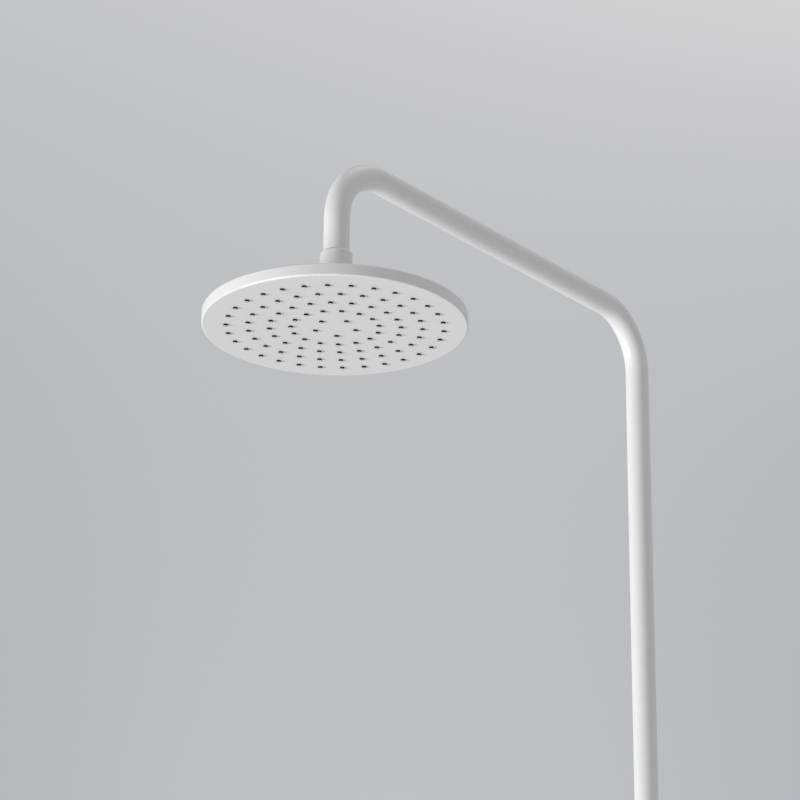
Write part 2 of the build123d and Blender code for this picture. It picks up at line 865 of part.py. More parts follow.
def make_disc_seal():
    seal_front = cavity_floor + disc_seal_t
    seal = ring(cavity_r - end_gap, valve_port_d / 2, cavity_floor, seal_front)
    for side in (-1, 1):
        seal -= Pos(0, side * port_offset, 0) * rod(port_drill_d / 2, cavity_floor, seal_front)
    return front_frame * seal


def make_fixed_disc():
    plate = rod(fixed_disc_d / 2, fixed_disc_back, fixed_disc_front)
    plate -= rod(valve_port_d / 2, fixed_disc_back, fixed_disc_front)
    for side in (-1, 1):
        plate -= Pos(0, side * port_offset, 0) * rod(port_drill_d / 2, fixed_disc_back, fixed_disc_front)
    return front_frame * plate


def make_turning_disc():
    plate = rod(turning_disc_d / 2, turning_disc_back, turning_disc_front)
    channel = Box(port_drill_d, port_offset + port_drill_d, disc_t)
    return front_frame * (plate - Pos(0, port_offset / 2, turning_disc_back) * channel)


def make_spindle():
    back = turning_disc_front + end_gap
    spindle = rod(spindle_flange_d / 2, back, flange_front)
    spindle += rod(spindle_d / 2, back, spindle_shoulder)
    spindle += flatted_bar(spindle_tip_d / 2, spindle_shoulder, spindle_tip)
    middle = flange_front + end_gap + cartridge_cap_t / 2
    spindle -= seal_groove(spindle_d, spindle_d / 2 + running - seal_section, middle)
    return front_frame * spindle


def flatted_bar(radius, low, high):
    """Round bar with one flat, which drives the knob."""
    flat = Box(2 * radius, 2 * radius, high - low)
    return rod(radius, low, high) - Pos(0, 2 * radius - spindle_tip_flat, (low + high) / 2) * flat


def make_spindle_seal():
    wall_r = spindle_d / 2 + running
    middle = flange_front + end_gap + cartridge_cap_t / 2
    return front_frame * seal_ring(wall_r - seal_section, wall_r, middle)


def make_cartridge_housing():
    outer_r = cavity_r - end_gap
    housing = rod(outer_r, fixed_disc_back, cartridge_front)
    housing -= rod(outer_r - cartridge_wall, fixed_disc_back, flange_front + end_gap)
    housing -= rod(spindle_d / 2 + running, fixed_disc_back, cartridge_front)
    return front_frame * housing


def make_gland_nut():
    nut = ring(cavity_r - fixed_fit, gland_bore_d / 2, cartridge_front + end_gap, front_face - end_gap)
    key = extrude(RegularPolygon(gland_key_w / 2, 6, major_radius=False), gland_key_depth)
    return front_frame * (nut - Pos(0, 0, front_face - gland_key_depth) * key)


def make_knob():
    knob = bevelled_rod(knob_d / 2, knob_back, knob_front, knob_bevel / 2, knob_bevel)
    knob -= flatted_bar(spindle_tip_d / 2 + fixed_fit, knob_back, spindle_tip + loose_fit)
    knob -= lever_place() * rod(lever_d / 2 + fixed_fit, -lever_seat, lever_length)
    knob -= knob_screw_place() * rod(grub_d / 2 + fixed_fit, 0, knob_d)
    return front_frame * knob


def lever_place():
    """Frame on the knob's top, in the front frame, with Z up."""
    return Pos(0, knob_d / 2, lever_mid) * Rot(-90, 0, 0)


def make_knob_lever():
    lever = rod(lever_d / 2, -lever_seat, lever_length - lever_d / 2)
    tip = Pos(0, 0, lever_length - lever_d / 2) * Sphere(lever_d / 2)
    return front_frame * lever_place() * (lever + tip)


def knob_screw_place():
    """Frame under the spindle's tip, in the front frame, with Z down."""
    return Pos(0, -spindle_tip_d / 2, knob_grub_mid) * Rot(90, 0, 0)


def make_knob_screw():
    return front_frame * knob_screw_place() * Pos(0, 0, end_gap) * grub(grub_d, knob_grub_length)


# Inlet at the wall


def make_inlet_nipple():
    nipple = rod(thread_r, -inlet_reach, inlet_grip)
    nipple += rod(inlet_shoulder_d / 2, 0, inlet_shoulder_t + neck_end - end_gap)
    nipple -= rod(inlet_bore_d / 2, -inlet_reach, inlet_grip)
    return wall_frame(0) * nipple


def make_inlet_filter():
    filter_r = inlet_bore_d / 2 - fixed_fit
    low = -inlet_reach + end_gap
    plug = rod(filter_r, low, low + inlet_filter_t)
    for count, circle_r in zip(inlet_filter_counts, inlet_filter_radii):
        hole = rod(inlet_filter_hole_d / 2, low, low + inlet_filter_t)
        plug -= [place * hole for place in around(count, circle_r)]
    return wall_frame(0) * plug


def make_lower_rosette():
    return wall_frame(0) * rosette(lower_rosette_d / 2, lower_rosette_h, neck_d / 2 + end_gap)


def make_lower_gasket():
    return wall_frame(0) * gasket(lower_rosette_d / 2)


# Hose outlet


def make_outlet_nipple():
    nipple = rod(thread_r, valve_foot, valve_foot + outlet_socket - end_gap)
    nipple += bevelled_rod(outlet_flange_d / 2, outlet_flange_low, valve_foot - end_gap, small_bevel, 0)
    nipple += rod(thread_r, outlet_end, valve_foot)
    nipple -= rod(cage_d / 2 + fixed_fit, outlet_end + outlet_lip_t, valve_foot + outlet_socket)
    nipple -= rod(outlet_lip_d / 2, outlet_end, valve_foot)
    return rail_frame * nipple


def make_valve_cage():
    cage = rod(cage_d / 2, cage_low, cage_top)
    cage -= rod(cage_d / 2 - cage_wall, cage_low + cage_floor_t, seat_face)
    cage -= rod(cage_seat_d / 2, seat_face, cage_top)
    cage -= rod(poppet_stem_d / 2 + running, cage_low, seat_face)
    window_circle_r = (cage_d / 2 - cage_wall + poppet_stem_d / 2) / 2
    cage -= [
        place * rod(cage_window_d / 2, cage_low, cage_low + cage_floor_t)
        for place in around(cage_window_count, window_circle_r)
    ]
    return rail_frame * cage


def make_poppet():
    poppet = rod(poppet_d / 2, poppet_low, poppet_top)
    poppet += rod(poppet_stem_d / 2, cage_low, poppet_low)
    seal_r = cage_seat_d / 2 + poppet_seal_section / 2
    poppet -= Pos(0, 0, poppet_top) * Torus(seal_r, poppet_seal_section / 2 + fixed_fit)
    return rail_frame * poppet


def make_poppet_seal():
    seal_r = cage_seat_d / 2 + poppet_seal_section / 2
    return rail_frame * Pos(0, 0, poppet_top) * Torus(seal_r, poppet_seal_section / 2)


def make_valve_spring():
    outer_r = valve_spring_d / 2
    floor = cage_low + cage_floor_t
    return rail_frame * ring(outer_r, outer_r - spring_wire, floor + fixed_fit, poppet_low - fixed_fit)


pieces = {
    "face_shell": make_face_shell,
    "cover_seal": make_cover_seal,
    "nozzle_mat": make_nozzle_mat,
    "jet_plate": make_jet_plate,
    "cover_screws": make_cover_screws,
    "back_cover": make_back_cover,
    "swivel_nut": make_swivel_nut,
    "ball_liner": make_ball_liner,
    "seat_rings": make_seat_rings,
    "ball_stem": make_ball_stem,
    "flow_regulator": make_flow_regulator,
    "regulator_ring": make_regulator_ring,
    "filter_washer": make_filter_washer,
    "gooseneck_tube": make_gooseneck_tube,
    "neck_tail": make_neck_tail,
    "rail_tube": make_rail_tube,
    "joint_spigot": make_joint_spigot,
    "joint_seals": make_joint_seals,
    "bracket_body": make_bracket_body,
    "bracket_bush": make_bracket_bush,
    "bracket_screw": make_bracket_screw,
    "hub_screw": make_hub_screw,
    "wall_plate": make_wall_plate,
    "upper_rosette": make_upper_rosette,
    "upper_gasket": make_upper_gasket,
    "slider_body": make_slider_body,
    "slider_base": make_slider_base,
    "glide_rings": make_glide_rings,
    "release_yoke": make_release_yoke,
    "brake_pad": make_brake_pad,
    "release_spring": make_release_spring,
    "cradle": make_cradle,
    "pivot_screw": make_pivot_screw,
    "pivot_washer": make_pivot_washer,
    "valve_body": make_valve_body,
    "foot_insert": make_foot_insert,
    "foot_seals": make_foot_seals,
    "foot_screw": make_foot_screw,
    "disc_seal": make_disc_seal,
    "fixed_disc": make_fixed_disc,
    "turning_disc": make_turning_disc,
    "spindle": make_spindle,
    "spindle_seal": make_spindle_seal,
    "cartridge_housing": make_cartridge_housing,
    "gland_nut": make_gland_nut,
    "knob": make_knob,
    "knob_lever": make_knob_lever,
    "knob_screw": make_knob_screw,
    "inlet_nipple": make_inlet_nipple,
    "inlet_filter": make_inlet_filter,
    "lower_rosette": make_lower_rosette,
    "lower_gasket": make_lower_gasket,
    "outlet_nipple": make_outlet_nipple,
    "valve_cage": make_valve_cage,
    "poppet": make_poppet,
    "poppet_seal": make_poppet_seal,
    "valve_spring": make_valve_spring,
}

os.makedirs("parts", exist_ok=True)
for name, make in pieces.items():
    export_step(make(), f"parts/{name}.step")
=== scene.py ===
"""Looks of a wall-mounted shower rail set: finishes, pipe threads, coiled springs, light and camera."""

import json
import logging
import math
from dataclasses import dataclass
from enum import Enum
from typing import ClassVar, Union

import bpy
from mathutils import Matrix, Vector


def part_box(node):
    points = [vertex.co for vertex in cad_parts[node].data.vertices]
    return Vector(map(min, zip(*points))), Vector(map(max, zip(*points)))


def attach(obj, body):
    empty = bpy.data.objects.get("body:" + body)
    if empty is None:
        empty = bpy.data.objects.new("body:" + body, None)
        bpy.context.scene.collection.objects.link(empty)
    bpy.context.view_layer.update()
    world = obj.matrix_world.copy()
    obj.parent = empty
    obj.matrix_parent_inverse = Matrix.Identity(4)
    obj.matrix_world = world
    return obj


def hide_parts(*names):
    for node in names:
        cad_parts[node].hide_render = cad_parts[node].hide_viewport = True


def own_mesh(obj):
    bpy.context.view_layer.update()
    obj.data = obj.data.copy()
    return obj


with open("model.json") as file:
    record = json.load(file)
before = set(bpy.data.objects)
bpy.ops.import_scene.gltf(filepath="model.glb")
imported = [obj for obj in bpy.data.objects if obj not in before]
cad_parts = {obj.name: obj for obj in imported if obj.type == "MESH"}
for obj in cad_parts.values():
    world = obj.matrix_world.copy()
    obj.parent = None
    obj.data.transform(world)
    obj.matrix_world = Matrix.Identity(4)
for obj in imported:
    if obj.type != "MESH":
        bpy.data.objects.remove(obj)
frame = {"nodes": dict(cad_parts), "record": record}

log = logging.getLogger("shower_rail")
MM = 0.001
SMOOTH_ANGLE = math.radians(35)
FULL_TURN = 2 * math.pi
MIX_SHARE, MIX_FIRST, MIX_SECOND, MIX_RESULT = 0, 6, 7, 2


class Slot(Enum):
    """Material slots of the record."""

    METAL = "white_metal"
    FACE = "white_face"
    PLASTIC = "white_plastic"
    NOZZLE = "nozzle_rubber"
    BRASS = "brass"
    STEEL = "steel"
    RUBBER = "black_rubber"
    NATURAL = "natural_plastic"
    CERAMIC = "ceramic"


class Axis(Enum):
    """Direction that a turned piece was turned about."""

    X = "X"
    Y = "Y"
    Z = "Z"


class Wire:
    """A shader socket that takes Python's arithmetic."""

    def __init__(self, tree: bpy.types.NodeTree, socket: bpy.types.NodeSocket) -> None:
        """Wraps an output socket.

        Args:
            tree: Node tree that holds the socket's node.
            socket: The output socket.
        """
        self.tree = tree
        self.socket = socket

    def maths(self, operation: str, first: "Value", second: "Value", clamp: bool = False) -> "Wire":
        """Adds one Math node.

        Args:
            operation: Name of the Math node's operation.
            first: Left operand.
            second: Right operand.
            clamp: Whether the result is kept between 0 and 1.

        Returns:
            The node's result.
        """
        settings = {"operation": operation, "use_clamp": clamp}
        return add_node(self.tree, "ShaderNodeMath", settings, {0: first, 1: second})

    def __add__(self, other: "Value") -> "Wire":
        """Sum."""
        return self.maths("ADD", self, other)

    def __radd__(self, other: "Value") -> "Wire":
        """Sum with a number on the left."""
        return self.maths("ADD", other, self)

    def __sub__(self, other: "Value") -> "Wire":
        """Difference."""
        return self.maths("SUBTRACT", self, other)

    def __rsub__(self, other: "Value") -> "Wire":
        """Difference with a number on the left."""
        return self.maths("SUBTRACT", other, self)

    def __mul__(self, other: "Value") -> "Wire":
        """Product."""
        return self.maths("MULTIPLY", self, other)

    def __rmul__(self, other: "Value") -> "Wire":
        """Product with a number on the left."""
        return self.maths("MULTIPLY", other, self)

    def clamped(self) -> "Wire":
        """The value kept between 0 and 1."""
        return self.maths("MULTIPLY", self, 1.0, clamp=True)


Value = Union[Wire, float, tuple]


def add_node(
    tree: bpy.types.NodeTree, kind: str, settings: dict, inputs: dict, output: Union[str, int] = 0
) -> Wire:
    """Adds a node of any kind.

    Args:
        tree: Node tree that takes it.
        kind: Blender's name for the node's type.
        settings: Properties, set before the inputs.
        inputs: Socket name or number to a value or a wire.
        output: Name or number of the output that is returned.

    Returns:
        The chosen output, or the first one.
    """
    node = tree.nodes.new(kind)
    for name, value in settings.items():
        setattr(node, name, value)
    for key, value in inputs.items():
        if isinstance(value, Wire):
            tree.links.new(value.socket, node.inputs[key])
        else:
            node.inputs[key].default_value = value
    return Wire(tree, node.outputs[output]) if node.outputs else Wire(tree, None)


def mixed(tree: bpy.types.NodeTree, share: "Value", first: "Value", second: "Value") -> Wire:
    """Mixes two colours.

    Args:
        tree: Node tree that takes the node.
        share: Share of the second colour.
        first: First colour, as a wire or three numbers.
        second: Second colour, as a wire or three numbers.

    Returns:
        The mixed colour.
    """
    ends = [end if isinstance(end, Wire) else (*end, 1.0) for end in (first, second)]
    inputs = {MIX_SHARE: share, MIX_FIRST: ends[0], MIX_SECOND: ends[1]}
    return add_node(tree, "ShaderNodeMix", {"data_type": "RGBA"}, inputs, MIX_RESULT)


@dataclass(frozen=True)
class Finish:
    """A finish with slow mottling in colour and roughness, and a fine grain in its surface.

    Attributes:
        name: Name of the material.
        colour: Linear colour.
        roughness: Roughness before the mottling.
        mottle: Share by which the mottling lightens and darkens the colour.
        mottle_size: Size of a patch of the mottling in metres.
        roughness_swing: Whole swing of the roughness with the mottling.
        grain_size: Size of the grain in metres.
        grain_depth: Depth of the grain in metres.
        metallic: Metalness.
        coat: Weight of the clear coat.
        coat_roughness: Roughness of the clear coat.
        specular: Strength of the gloss.
        mottle_detail: Finer octaves in the mottling.
        grain_detail: Finer octaves in the grain.
    """

    name: str
    colour: tuple[float, float, float]
    roughness: float
    mottle: float = 0.02
    mottle_size: float = 0.04
    roughness_swing: float = 0.05
    grain_size: float = 0.0012
    grain_depth: float = 0.00001
    metallic: float = 0.0
    coat: float = 0.0
    coat_roughness: float = 0.1
    specular: float = 0.5
    mottle_detail: float = 3.0
    grain_detail: float = 2.0

    def place(self, tree: bpy.types.NodeTree) -> Wire:
        """Place on the piece, in metres."""
        return add_node(tree, "ShaderNodeTexCoord", {}, {}, "Object")

    def noise(self, tree: bpy.types.NodeTree, size: float, detail: float) -> Wire:
        """Noise of a real size.

        Args:
            tree: Material's node tree.
            size: Size of a patch in metres.
            detail: Number of finer octaves.

        Returns:
            Noise from 0 to 1.
        """
        inputs = {"Vector": self.place(tree), "Scale": 1 / size, "Detail": detail}
        return add_node(tree, "ShaderNodeTexNoise", {}, inputs, "Fac")

    def relief(self, tree: bpy.types.NodeTree) -> Wire:
        """Height of the surface's grain, from 0 to 1."""
        return self.noise(tree, self.grain_size, self.grain_detail)

    def tone(self, tree: bpy.types.NodeTree, mottle: Wire) -> Wire:
        """Colour with its mottling.

        Args:
            tree: Material's node tree.
            mottle: Slow noise from 0 to 1.

        Returns:
            The colour.
        """
        light = tuple(min(1.0, part * (1 + self.mottle)) for part in self.colour)
        dark = tuple(part * (1 - self.mottle) for part in self.colour)
        return mixed(tree, mottle, dark, light)

    def make(self) -> bpy.types.Material:
        """Builds the material.

        Returns:
            The finished material.
        """
        material = bpy.data.materials.new(self.name)
        material.use_nodes = True
        tree = material.node_tree
        tree.nodes.clear()
        mottle = self.noise(tree, self.mottle_size, self.mottle_detail)
        grain = {"Distance": self.grain_depth, "Height": self.relief(tree)}
        bump = add_node(tree, "ShaderNodeBump", {}, grain)
        inputs = {
            "Base Color": self.tone(tree, mottle),
            "Roughness": self.roughness + (mottle - 0.5) * self.roughness_swing,
            "Metallic": self.metallic,
            "Coat Weight": self.coat,
            "Coat Roughness": self.coat_roughness,
            "Specular IOR Level": self.specular,
            "Normal": bump,
        }
        shader = add_node(tree, "ShaderNodeBsdfPrincipled", {}, inputs)
        add_node(tree, "ShaderNodeOutputMaterial", {}, {"Surface": shader})
        return material


@dataclass(frozen=True)
class Turned(Finish):
    """A lathe-turned metal with fine tool rings round its axis.

    Attributes:
        axis: Axis that the rings lie round.
        ring_pitch: Distance from ring to ring in metres.
        ring_wander: How far the noise moves the rings, in radians of their wave.
    """

    axis: Axis = Axis.Z
    ring_pitch: float = 0.0004
    ring_wander: float = 4.0

    def relief(self, tree: bpy.types.NodeTree) -> Wire:
        """Tool rings along the axis, broken up by a little noise."""
        along = add_node(tree, "ShaderNodeSeparateXYZ", {}, {"Vector": self.place(tree)}, self.axis.value)
        wobble = self.noise(tree, self.grain_size, self.grain_detail)
        turns = along * (FULL_TURN / self.ring_pitch) + wobble * self.ring_wander
        return 0.5 + turns.maths("SINE", turns, 0.0) * 0.5


@dataclass(frozen=True)
class Tipped(Finish):
    """Dark moulded rubber whose downward tips are light.

    Attributes:
        tip_colour: Colour of the tips.
        tip_height: Height below which the tips' colour starts.
        tip_blend: Height over which one colour passes into the other.
    """

    tip_colour: tuple[float, float, float] = (0.8, 0.8, 0.8)
    tip_height: float = 0.0
    tip_blend: float = 0.00005

    def tone(self, tree: bpy.types.NodeTree, mottle: Wire) -> Wire:
        """Rubber's colour above the tips' height, and the tips' colour below it."""
        height = add_node(tree, "ShaderNodeSeparateXYZ", {}, {"Vector": self.place(tree)}, Axis.Z.value)
        tip = ((self.tip_height - height) * (1 / self.tip_blend)).clamped()
        return mixed(tree, tip, super().tone(tree, mottle), self.tip_colour)


def clear_selection() -> None:
    """Deselects every object."""
    bpy.ops.object.select_all(action="DESELECT")


def apply_modifiers(piece: bpy.types.Object) -> None:
    """Applies every modifier of a piece in order."""
    bpy.context.view_layer.objects.active = piece
    for modifier in list(piece.modifiers):
        bpy.ops.object.modifier_apply(modifier=modifier.name)


@dataclass
class Swept:
    """A closed section of (radius, height) points that is turned, or wound, about an axis.

    Attributes:
        name: Name of the piece.
        section: The section's points in order.
        centre: Point on the axis where heights start.
        towards: Direction of the axis.
        pitch: Rise in a turn, or 0 for a turned piece.
        turns: Number of turns.
        steps: Steps in a turn.
        fade: Turns over which a winding grows to its full section at each end.
        least_height: Share of the section that is left at the very ends.
    """

    name: str
    section: list[tuple[float, float]]
    centre: Vector
    towards: Vector
    pitch: float = 0.0
    turns: float = 1.0
    steps: int = 48
    fade: float = 0.0
    least_height: float = 0.1

    def fade_ends(self, piece: bpy.types.Object) -> None:
        """Shrinks the section to its inner radius and middle height at the winding's two ends.

        Args:
            piece: The wound piece, before it is laid along its axis.
        """
        points = len(self.section)
        inner = min(radius for radius, _ in self.section)
        middle = sum(height for _, height in self.section) / points
        last_row = len(piece.data.vertices) // points - 1
        for number, vertex in enumerate(piece.data.vertices):
            turn = self.turns * (number // points) / last_row
            share = max(self.least_height, min(1.0, turn / self.fade, (self.turns - turn) / self.fade))
            centre = middle + self.pitch * turn
            radius = math.hypot(vertex.co.x, vertex.co.y)
            scale = (inner + (radius - inner) * share) / radius
            vertex.co = (vertex.co.x * scale, vertex.co.y * scale, centre + (vertex.co.z - centre) * share)

    def build(self) -> bpy.types.Object:
        """Shapes a circle into the section, sweeps it upward from the centre and lays it along its axis.

        Returns:
            The piece, with its place in its mesh.
        """
        clear_selection()
        bpy.ops.mesh.primitive_circle_add(vertices=len(self.section), radius=MM)
        piece = bpy.context.object
        piece.name = self.name
        for vertex, (radius, height) in zip(piece.data.vertices, self.section):
            vertex.co = (radius, 0, height)
        sweep = piece.modifiers.new("sweep", "SCREW")
        sweep.angle = FULL_TURN * self.turns
        sweep.screw_offset = self.pitch * self.turns
        sweep.steps = sweep.render_steps = round(self.steps * self.turns)
        apply_modifiers(piece)
        if self.fade:
            self.fade_ends(piece)
        bpy.ops.object.mode_set(mode="EDIT")
        if self.pitch:
            bpy.ops.mesh.select_all(action="DESELECT")
            bpy.ops.mesh.select_non_manifold()
            bpy.ops.mesh.edge_face_add()
        bpy.ops.mesh.select_all(action="SELECT")
        bpy.ops.mesh.normals_make_consistent(inside=False)
        bpy.ops.object.mode_set(mode="OBJECT")
        piece.rotation_mode = "QUATERNION"
        piece.rotation_quaternion = self.towards.to_track_quat("Z", "Y")
        piece.location = self.centre
        bpy.ops.object.transform_apply(location=True, rotation=True, scale=True)
        bpy.ops.object.shade_smooth_by_angle(angle=SMOOTH_ANGLE)
        return piece


@dataclass(frozen=True)
class PipeThread:
    """Half-inch parallel pipe thread, as a ridge that is wound over its core.

    Attributes:
        major_r: Radius at the crest.
        core_r: Radius of the core.
        pitch: Rise in a turn.
        crest_share: Width of the crest as a share of the pitch.
        root_share: Width of the ridge's foot as a share of the pitch.
        sunk: How deep the foot sits in the core.
        fade: Turns over which the ridge grows to its full height at each end.
        body_steps: Steps in a turn of the body that carries the thread.
    """

    major_r: float = 10.45 * MM
    core_r: float = 9.32 * MM
    pitch: float = 1.814 * MM
    crest_share: float = 0.12
    root_share: float = 0.9
    sunk: float = 0.15 * MM
    fade: float = 0.35
    body_steps: int = 96

    def ridge(self, name: str, centre: Vector, towards: Vector, length: float) -> bpy.types.Object:
        """Winds the ridge along a stretch.

        Args:
            name: Name of the piece.
            centre: Start of the stretch on the axis.
            towards: Direction of the axis.
            length: Length of the stretch.

        Returns:
            The ridge.
        """
        root = self.pitch * self.root_share / 2
        crest = self.pitch * self.crest_share / 2
        inner = self.core_r - self.sunk
        section = [(inner, -root), (self.major_r, -crest), (self.major_r, crest), (inner, root)]
        start = centre + towards * (self.pitch / 2)
        turns = (length - self.pitch) / self.pitch
        return Swept(name, section, start, towards, self.pitch, turns, fade=self.fade).build()


@dataclass
class Assembly:
    """Pieces that are fitted together, each in the finish that the record names.

    Attributes:
        looks: Slot to its finished material.
        nodes: Names of the CAD nodes that belong to it.
    """

    looks: dict[Slot, bpy.types.Material]
    nodes: ClassVar[tuple[str, ...]] = ()

    def build(self) -> None:
        """Makes the assembly's own new pieces, where it has some."""

    def dress(self) -> None:
        """Assigns the finishes to the material slots of the CAD nodes."""
        slots = {part["node"]: Slot(part["material_slot"]) for part in frame["record"]["subparts"]}
        for name in self.nodes:
            for holder in frame["nodes"][name].material_slots:
                holder.material = self.looks[slots[name]]
            log.info("dressed %s", name)

    def fit(self, piece: bpy.types.Object, node: str, body: str, slot: Slot) -> None:
        """Puts a new piece in a CAD node's place.

        Args:
            piece: The new piece.
            node: CAD node that it stands for.
            body: Body that it moves with.
            slot: Slot that it takes its finish from.
        """
        piece.data.materials.clear()
        piece.data.materials.append(self.looks[slot])
        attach(piece, body)
        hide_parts(node)
        log.info("made %s", piece.name)

    def coil(
        self, node: str, axis: Axis, wire_r: float, turns: float, wire_sides: int = 12
    ) -> bpy.types.Object:
        """Winds a spring that fills a plain sleeve's box.

        Args:
            node: CAD node of the sleeve.
            axis: Direction of its length.
            wire_r: Radius of the wire.
            turns: Number of turns.
            wire_sides: Sides of the wire's section.

        Returns:
            The spring.
        """
        low, high = (Vector(corner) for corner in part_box(node))
        index = "XYZ".index(axis.value)
        across = (index + 1) % 3
        towards = Vector([float(k == index) for k in range(3)])
        start = (low + high) / 2
        start[index] = low[index] + wire_r
        length = high[index] - low[index] - 2 * wire_r
        middle_r = (high[across] - low[across]) / 2 - wire_r
        section = []
        for side in range(wire_sides):
            angle = FULL_TURN * side / wire_sides
            section.append((middle_r + wire_r * math.cos(angle), wire_r * math.sin(angle)))
        return Swept(node + "_coil", section, start, towards, length / turns, turns).build()

    def nipple(
        self, node: str, section: list[tuple[float, float]], thread: PipeThread, start: float, length: float,
        origin: Vector, towards: Vector,
    ) -> bpy.types.Object:
        """Turns a nipple's body and winds the thread on it.

        Args:
            node: CAD node that it stands for.
            section: Half section of the body.
            thread: The thread's sizes.
            start: Where the thread starts along the axis.
            length: Length of the thread.
            origin: Origin of the section's heights.
            towards: Direction of the axis.

        Returns:
            The threaded nipple, as one object.
        """
        ridge = thread.ridge(node + "_ridge", origin + towards * start, towards, length)
        body = Swept(node + "_threaded", section, origin, towards, steps=thread.body_steps).build()
        clear_selection()
        ridge.select_set(True)
        body.select_set(True)
        bpy.context.view_layer.objects.active = body
        bpy.ops.object.join()
        return body


@dataclass
class SprayHead(Assembly):
    """Overhead spray head with its nozzle mat, ball joint, collar and washers."""

    nodes: ClassVar[tuple[str, ...]] = (
        "face_shell", "cover_seal", "nozzle_mat", "jet_plate", "cover_screws", "back_cover", "swivel_nut",
        "ball_liner", "seat_rings", "ball_stem", "flow_regulator", "regulator_ring", "filter_washer",
    )


@dataclass
class Riser(Assembly):
    """Bent tube and lower tube with the sleeve and seals that join them."""

    nodes: ClassVar[tuple[str, ...]] = (
        "gooseneck_tube", "neck_tail", "rail_tube", "joint_spigot", "joint_seals",
    )


@dataclass
class WallBracket(Assembly):
    """Upper bracket with its bush, screws, wall plate, rosette and gasket."""

    nodes: ClassVar[tuple[str, ...]] = (
        "bracket_body", "bracket_bush", "bracket_screw", "hub_screw", "wall_plate", "upper_rosette",
        "upper_gasket",
    )


@dataclass
class HandsetSlider(Assembly):
    """Sliding handset holder with its brake, its coiled release spring and the tilting cradle.

    Attributes:
        wire_r: Radius of the release spring's wire.
        turns: Turns of the release spring.
        press: How far the button goes in. Not used.
    """

    wire_r: float = 0.4 * MM
    turns: float = 6.5
    press: float = 2.0 * MM
    nodes: ClassVar[tuple[str, ...]] = (
        "slider_body", "slider_base", "glide_rings", "release_yoke", "brake_pad", "release_spring", "cradle",
        "pivot_screw", "pivot_washer",
    )

    def build(self) -> None:
        """Winds the release spring at the length of its sleeve; the real spring shortens as the button is
        pressed.
        """
        spring = self.coil("release_spring", Axis.X, self.wire_r, self.turns)
        self.fit(spring, "release_spring", "slider", Slot.STEEL)
        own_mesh(spring)


@dataclass
class Diverter(Assembly):
    """Valve body with its cartridge, knob and the insert that holds the rail."""

    nodes: ClassVar[tuple[str, ...]] = (
        "valve_body", "foot_insert", "foot_seals", "foot_screw", "disc_seal", "fixed_disc", "turning_disc",
        "spindle", "spindle_seal", "cartridge_housing", "gland_nut", "knob", "knob_lever", "knob_screw",
    )


@dataclass
class WallInlet(Assembly):
    """Inlet nipple with its thread, filter, rosette and gasket.

    Attributes:
        bore_r: Radius of the nipple's bore.
        shoulder_r: Radius of the shoulder that stops at the wall.
        shoulder_depth: How deep the shoulder goes into the valve body.
        thread: The thread's sizes.
    """

    bore_r: float = 7.0 * MM
    shoulder_r: float = 12.0 * MM
    shoulder_depth: float = 3.9 * MM
    thread: PipeThread = PipeThread()
    nodes: ClassVar[tuple[str, ...]] = ("inlet_nipple", "inlet_filter", "lower_rosette", "lower_gasket")

    def build(self) -> None:
        """Makes the nipple with a real thread on the tail that goes into the wall."""
        low, high = (Vector(corner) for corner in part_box("inlet_nipple"))
        back, front = -high.y, -low.y
        shoulder_end = -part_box("valve_body")[1][1] + self.shoulder_depth
        section = [
            (self.bore_r, back),
            (self.thread.core_r, back),
            (self.thread.core_r, 0.0),
            (self.shoulder_r, 0.0),
            (self.shoulder_r, shoulder_end),
            (self.thread.core_r, shoulder_end),
            (self.thread.core_r, front),
            (self.bore_r, front),
        ]
        origin = Vector((0, 0, 0))
        piece = self.nipple("inlet_nipple", section, self.thread, back, -back, origin, Vector((0, -1, 0)))
        self.fit(piece, "inlet_nipple", "column", Slot.BRASS)


@dataclass
class HoseOutlet(Assembly):
    """Outlet nipple with its thread, and the check valve inside it.

    Attributes:
        flange_t: Thickness of the flange.
        flange_r: Radius of the flange.
        flange_bevel: Bevel at the flange's lower edge.
        thread_length: Length of the hose thread.
        bore_r: Radius of the bore.
        lip_r: Radius of the opening in the lip below the valve.
        lip_t: Thickness of the lip.
        wire_r: Radius of the valve spring's wire.
        turns: Turns of the valve spring.
        opening: How far the valve opens. Not used.
        thread: The thread's sizes.
    """

    flange_t: float = 5.0 * MM
    flange_r: float = 13.0 * MM
    flange_bevel: float = 1.0 * MM
    thread_length: float = 11.0 * MM
    bore_r: float = 7.45 * MM
    lip_r: float = 6.0 * MM
    lip_t: float = 2.0 * MM
    wire_r: float = 0.4 * MM
    turns: float = 6.5
    opening: float = 3.0 * MM
    thread: PipeThread = PipeThread()
    nodes: ClassVar[tuple[str, ...]] = (
        "outlet_nipple", "valve_cage", "poppet", "poppet_seal", "valve_spring",
    )

    def build(self) -> None:
        """Makes the threaded nipple and winds the check valve's spring."""
        self.build_nipple()
        spring = self.coil("valve_spring", Axis.Z, self.wire_r, self.turns)
        self.fit(spring, "valve_spring", "column", Slot.STEEL)
        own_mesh(spring)

    def build_nipple(self) -> None:
        """Makes the nipple with a real thread for the hose."""
        low, high = (Vector(corner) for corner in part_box("outlet_nipple"))
        end = low.z
        flange_low = end + self.thread_length
        flange_high = flange_low + self.flange_t
        section = [
            (self.lip_r, end),
            (self.thread.core_r, end),
            (self.thread.core_r, flange_low),
            (self.flange_r - self.flange_bevel, flange_low),
            (self.flange_r, flange_low + self.flange_bevel),
            (self.flange_r, flange_high),
            (self.thread.core_r, flange_high),
            (self.thread.core_r, high.z),
            (self.bore_r, high.z),
            (self.bore_r, end + self.lip_t),
            (self.lip_r, end + self.lip_t),
        ]
        origin = Vector(((low.x + high.x) / 2, (low.y + high.y) / 2, 0))
        up = Vector((0, 0, 1))
        piece = self.nipple("outlet_nipple", section, self.thread, end, self.thread_length, origin, up)
        self.fit(piece, "outlet_nipple", "column", Slot.BRASS)


